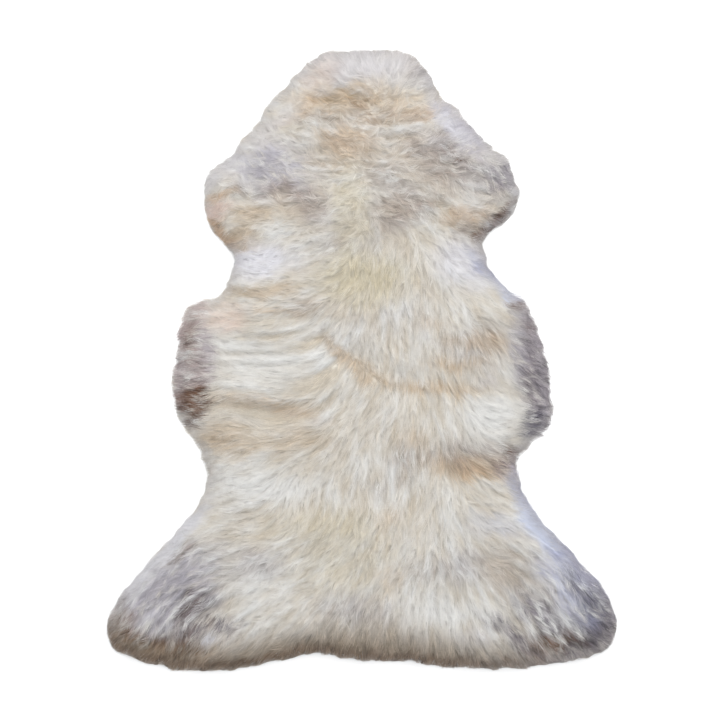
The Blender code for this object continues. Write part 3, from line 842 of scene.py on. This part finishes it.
def one_wisp():
    """A flat strip in as many lengths as a wisp has, its last two corners merged to a point.
    Returns each corner's place across and station along, and the corners of each face."""
    strip = bmesh.new()
    bmesh.ops.create_grid(strip, x_segments=1, y_segments=STATIONS - 1, size=0.5)
    tip = [v for v in strip.verts if v.co.y > 0.49]
    bmesh.ops.pointmerge(strip, verts=tip, merge_co=(0.0, 0.5, 0.0))
    strip.verts.index_update()
    across = np.array([2.0 * v.co.x for v in strip.verts])
    station = np.array([round((v.co.y + 0.5) * (STATIONS - 1)) for v in strip.verts])
    faces = [[v.index for v in face.verts] for face in strip.faces]
    strip.free()
    return across, station, faces


def bake_map(mesh, across, along, count, corners):
    """Lays each wisp in a cell of its own on the piece's UV map, its length up the cell."""
    columns = int(math.ceil(math.sqrt(CELL_ASPECT * count)))
    rows = int(math.ceil(count / columns))
    number = np.arange(count)
    u = (number % columns)[:, None] + 0.5 + CELL_HALF_WIDTH * across[corners]
    v = (number // columns)[:, None] + CELL_MARGIN + (1.0 - 2.0 * CELL_MARGIN) * along[corners]
    layer = mesh.uv_layers.new(name="OFBake")
    layer.data.foreach_set("uv", np.dstack([u / columns, v / rows]).ravel())


def joined_wisps(name, paths, widths, rolls, colours, strands, material):
    """One mesh of many wisps, each the flat strip bent along its path and rolled about it. It is shaded
    mostly as the fleece's surface, because real strands are too fine to show sides."""
    across, station, faces = one_wisp()
    count, corners = len(paths), np.concatenate(faces)
    along = unit(np.gradient(paths, axis=1))
    level = unit(np.cross(along, np.array([0.0, 0.0, 1.0])))
    cos, sin = np.cos(rolls)[:, None, None], np.sin(rolls)[:, None, None]
    side = level * cos + np.cross(level, along) * sin
    half = 0.5 * widths[:, None] * STATION_WIDTHS[station][None, :] * across[None, :]
    places = paths[:, station] + side[:, station] * half[:, :, None]
    places[:, :, 2] = np.maximum(places[:, :, 2], WISP_FLOOR)
    surface = read_field(surface_normal, places[:, :, :2].reshape(-1, 2))
    own = np.cross(side, along)[:, station].reshape(-1, 3)
    normals = unit(SHADE_OF_SURFACE * unit(surface) + (1.0 - SHADE_OF_SURFACE) * own)

    mesh = bpy.data.meshes.new(name)
    mesh.vertices.add(count * len(across))
    mesh.vertices.foreach_set("co", places.ravel())
    mesh.loops.add(count * len(corners))
    first = len(across) * np.arange(count)[:, None]
    mesh.loops.foreach_set("vertex_index", (first + corners).ravel())
    mesh.polygons.add(count * len(faces))
    starts = np.concatenate([[0], np.cumsum([len(face) for face in faces])[:-1]])
    starts = len(corners) * np.arange(count)[:, None] + starts
    mesh.polygons.foreach_set("loop_start", starts.ravel())
    mesh.update(calc_edges=True)
    mesh.shade_smooth()
    mesh.normals_split_custom_set_from_vertices(normals)
    mesh.materials.append(material)
    share = station / (STATIONS - 1)
    bake_map(mesh, across, share, count, corners)
    paint(mesh, "fleece_colour", colours[:, station].reshape(-1, 3))
    shares = np.tile(share, (count, 1))
    numbers = np.repeat(strands, len(across)).reshape(count, -1)
    paint(mesh, "strand", np.dstack([shares, numbers, np.zeros_like(shares)]).reshape(-1, 3))
    piece = bpy.data.objects.new(name, mesh)
    bpy.context.scene.collection.objects.link(piece)
    return piece


CRIMP_SIZE = 3.5 * MM  # the wave in each strand of sheep's wool, seen as faint light and dark


def combed_wool():
    """Washed wool: matt and soft, a little darker at its root, each strand with a tone of its own."""
    material, tree = new_material("sheep's wool, washed and combed")
    own = add_node(tree, "Attribute", attribute_name="fleece_colour").outputs["Color"]
    strand = add_node(tree, "Attribute", attribute_name="strand").outputs["Color"]
    told = add_node(tree, "SeparateColor", links={"Color": strand})
    rise = add_node(
        tree, "MapRange", {"From Max": 0.75, "To Min": 0.9, "To Max": 1.0},
        {"Value": told.outputs["Red"]}, interpolation_type="SMOOTHSTEP",
    )
    tone = add_node(tree, "MapRange", {"To Min": 0.97, "To Max": 1.02}, {"Value": told.outputs["Green"]})
    place = add_node(tree, "TexCoord").outputs["Object"]
    crimps = add_node(tree, "TexNoise", {"Scale": 1.0 / CRIMP_SIZE, "Detail": 2.0}, {"Vector": place})
    crimp = add_node(
        tree, "MapRange", {"From Min": 0.3, "From Max": 0.7, "To Min": 0.97, "To Max": 1.02},
        {"Value": crimps.outputs["Fac"]},
    )
    of_strand = add_node(
        tree, "Math", links={0: rise.outputs["Result"], 1: tone.outputs["Result"]}, operation="MULTIPLY"
    )
    shade = add_node(
        tree, "Math", links={0: of_strand.outputs["Value"], 1: crimp.outputs["Result"]},
        operation="MULTIPLY",
    )
    colour = add_node(
        tree, "Mix", {"Factor": 1.0}, {"A": own, "B": shade.outputs["Value"]},
        data_type="RGBA", blend_type="MULTIPLY",
    )
    shader = add_node(
        tree, "BsdfPrincipled",
        {"Roughness": 0.8, "Sheen Weight": 0.3, "Sheen Roughness": 0.4, "Specular IOR Level": 0.2},
        {"Base Color": colour.outputs["Result"]},
    )
    through = add_node(tree, "BsdfTranslucent", links={"Color": colour.outputs["Result"]})
    both = add_node(
        tree, "MixShader", {0: 0.4}, {1: shader.outputs["BSDF"], 2: through.outputs["BSDF"]}
    )
    add_node(tree, "OutputMaterial", links={"Surface": both.outputs["Shader"]})
    return material


rise = np.stack(np.gradient(wool_top + RIPPLE_HEIGHT * ripple, FIELD_PITCH), axis=2)
surface_normal = unit(np.dstack([-rise, np.ones_like(wool_top)]))
roots = tuft_roots()
tuft_count = len(roots)
tuft_ways = combed_paths(
    roots,
    lengths=TUFT_LENGTH * random.uniform(*TUFT_LENGTHS, tuft_count),
    turns=random.normal(0.0, TUFT_TURN, tuft_count),
    shifts=random.normal(0.0, TUFT_SHIFT, (tuft_count, 2)),
)

WISP_LAYERS = (-1.2 * MM, 0.8 * MM)  # how much lower or higher a wisp lies than its neighbours
WISP_WIDTH, WISP_WIDTHS = 0.65 * MM, (0.7, 1.3)  # its usual width, and the range of shares of it
WISP_ROLL = 0.4  # radians: how far a wisp may be rolled to either side
wisp_count = tuft_count * WISPS_PER_TUFT
tuft_of = np.repeat(np.arange(tuft_count), WISPS_PER_TUFT)
bearing = random.uniform(0.0, 2.0 * math.pi, wisp_count)
reach = TUFT_RADIUS * np.sqrt(random.uniform(0.0, 1.0, wisp_count))
offsets = np.stack([reach * np.cos(bearing), reach * np.sin(bearing)], axis=1)
layers = random.uniform(*WISP_LAYERS, wisp_count)
strays = random.normal(0.0, 1.0, wisp_count)
wisp_ways = wisp_paths(tuft_ways[tuft_of], offsets, layers, strays)
wisp_widths = WISP_WIDTH * random.uniform(*WISP_WIDTHS, wisp_count)
wisp_rolls = random.uniform(-WISP_ROLL, WISP_ROLL, wisp_count)
wisp_roots = wisp_ways[:, 0, :2]

OWN_SPREAD, OWN_LIMIT = 0.6, 1.5  # of the number that sets a tuft's colour off from its neighbours'
HELD_COLOUR = 0.7  # how far a wisp may carry the colour of its root along, over wool of another
tuft_own = np.clip(random.normal(0.0, OWN_SPREAD, tuft_count), -OWN_LIMIT, OWN_LIMIT)
held = HELD_COLOUR * random.uniform(0.0, 1.0, (wisp_count, 1, 1))
grown_places = (wisp_ways + held * (wisp_ways[:, :1] - wisp_ways))[:, :, :2].reshape(-1, 2)
wisp_places = wisp_ways[:, :, :2].reshape(-1, 2)
wisp_own = np.repeat(tuft_own[tuft_of], STATIONS)
wisp_colours = shaded_and_soiled(wool_colour(grown_places, wisp_own), wisp_places, wisp_own)
wisp_colours = wisp_colours.reshape(wisp_count, STATIONS, 3)

TONE_SPREAD = 0.02  # how much lighter or darker tufts are, and the bands that the comb has left
TONE_BANDS = {"size": 4.0 * MM, "reach": 16.0 * MM, "seed": 62}
GREY_MIX = 0.6  # grey wool is dark and white strands together, so its wisps differ most
WISP_STREAKS, BAND_STREAKS = 0.6, 0.9  # how much they differ one by one, and in combed streaks
STREAK_BANDS = {"size": 3.5 * MM, "reach": 7.0 * MM, "seed": 63}
TONE_RANGE = (0.5, 1.5)  # of what a wisp's colour is multiplied by
greyness = (1.0 - wisp_colours.mean(axis=(1, 2))) ** 2
tones = random.normal(0.0, TONE_SPREAD, tuft_count)[tuft_of]
tones += TONE_SPREAD * combed_noise(wisp_roots, **TONE_BANDS)
streaks = WISP_STREAKS * random.normal(0.0, 1.0, wisp_count)
streaks += BAND_STREAKS * combed_noise(wisp_roots, **STREAK_BANDS)
tones += GREY_MIX * greyness * streaks
wisp_colours *= np.clip(1.0 + tones, *TONE_RANGE)[:, None, None]
wisp_strands = random.uniform(0.0, 1.0, wisp_count)

REGIONS = {  # the pieces that the fleece is made in, by the y of their lower end, in mm
    "wool_neck": 250.0, "wool_shoulders": 90.0, "wool_ribs": -20.0, "wool_belly": -130.0,
    "wool_rump": -270.0, "wool_thighs": -390.0, "wool_feet": -600.0,
}
wool = combed_wool()
upper = np.inf
for name, lower in REGIONS.items():
    here = (wisp_roots[:, 1] >= lower * MM) & (wisp_roots[:, 1] < upper)
    upper = lower * MM
    piece = joined_wisps(
        name, wisp_ways[here], wisp_widths[here], wisp_rolls[here],
        np.clip(wisp_colours[here], 0.0, 1.0), wisp_strands[here], wool,
    )
    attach(piece, "root")

# --------------------------------------------------------------------------------------------------
# The studio: a white floor under an even pale light, with one large soft box beyond the neck end, and
# a camera straight above the rug.
FRAME_WIDTH = 1159.0 * MM  # what the camera sees across the rug, at the height of its rim
LENS = 160.0
SENSOR = 36.0
RIM_LEVEL = 3.0 * MM  # how high that rim is over the floor
CAMERA_X, CAMERA_Y = -2.4 * MM, -0.1 * MM
FLOOR_HALF = 4.0  # metres
FLOOR_DROP = 0.3 * MM  # so that the hide's flat face doesn't lie in the floor's own plane
LAMP_PLACE, LAMP_SIZE, LAMP_WATTS = (0.3, 1.7, 2.7), 2.4, 60.0  # metres, and watts
SKY_COLOUR, SKY_STRENGTH = (0.95, 0.97, 1.0, 1.0), 1.1


def soft_light(name, place, size, watts):
    """A large square soft box that faces the middle of the rug."""
    lamp = bpy.data.lights.new(name, "AREA")
    lamp.size = size
    lamp.energy = watts
    light = bpy.data.objects.new(name, lamp)
    light.location = place
    light.rotation_euler = (-Vector(place)).to_track_quat("-Z", "Y").to_euler()
    bpy.context.scene.collection.objects.link(light)


def painted_floor():
    """White matt floor paint, rolled on."""
    material, tree = new_material("floor paint, rolled matt")
    shader = add_node(tree, "BsdfPrincipled", {"Base Color": srgb("f6f5f3"), "Roughness": 0.9})
    add_node(tree, "OutputMaterial", links={"Surface": shader.outputs["BSDF"]})
    return material


ground = bmesh.new()
bmesh.ops.create_grid(ground, x_segments=1, y_segments=1, size=FLOOR_HALF)
bmesh.ops.translate(ground, vec=(0.0, 0.0, -FLOOR_DROP), verts=ground.verts)
floor = as_piece("floor", ground, painted_floor())

soft_light("neck_light", LAMP_PLACE, LAMP_SIZE, LAMP_WATTS)
world = bpy.data.worlds.new("studio")
world.use_nodes = True
sky = world.node_tree.nodes["Background"]
sky.inputs["Color"].default_value = SKY_COLOUR
sky.inputs["Strength"].default_value = SKY_STRENGTH
bpy.context.scene.world = world
bpy.context.scene.view_settings.view_transform = "Standard"

lens = bpy.data.cameras.new("camera")
lens.lens = LENS
lens.sensor_width = SENSOR
camera = bpy.data.objects.new("camera", lens)
camera.location = (CAMERA_X, CAMERA_Y, RIM_LEVEL + FRAME_WIDTH * LENS / SENSOR)
bpy.context.scene.collection.objects.link(camera)
bpy.context.scene.camera = camera
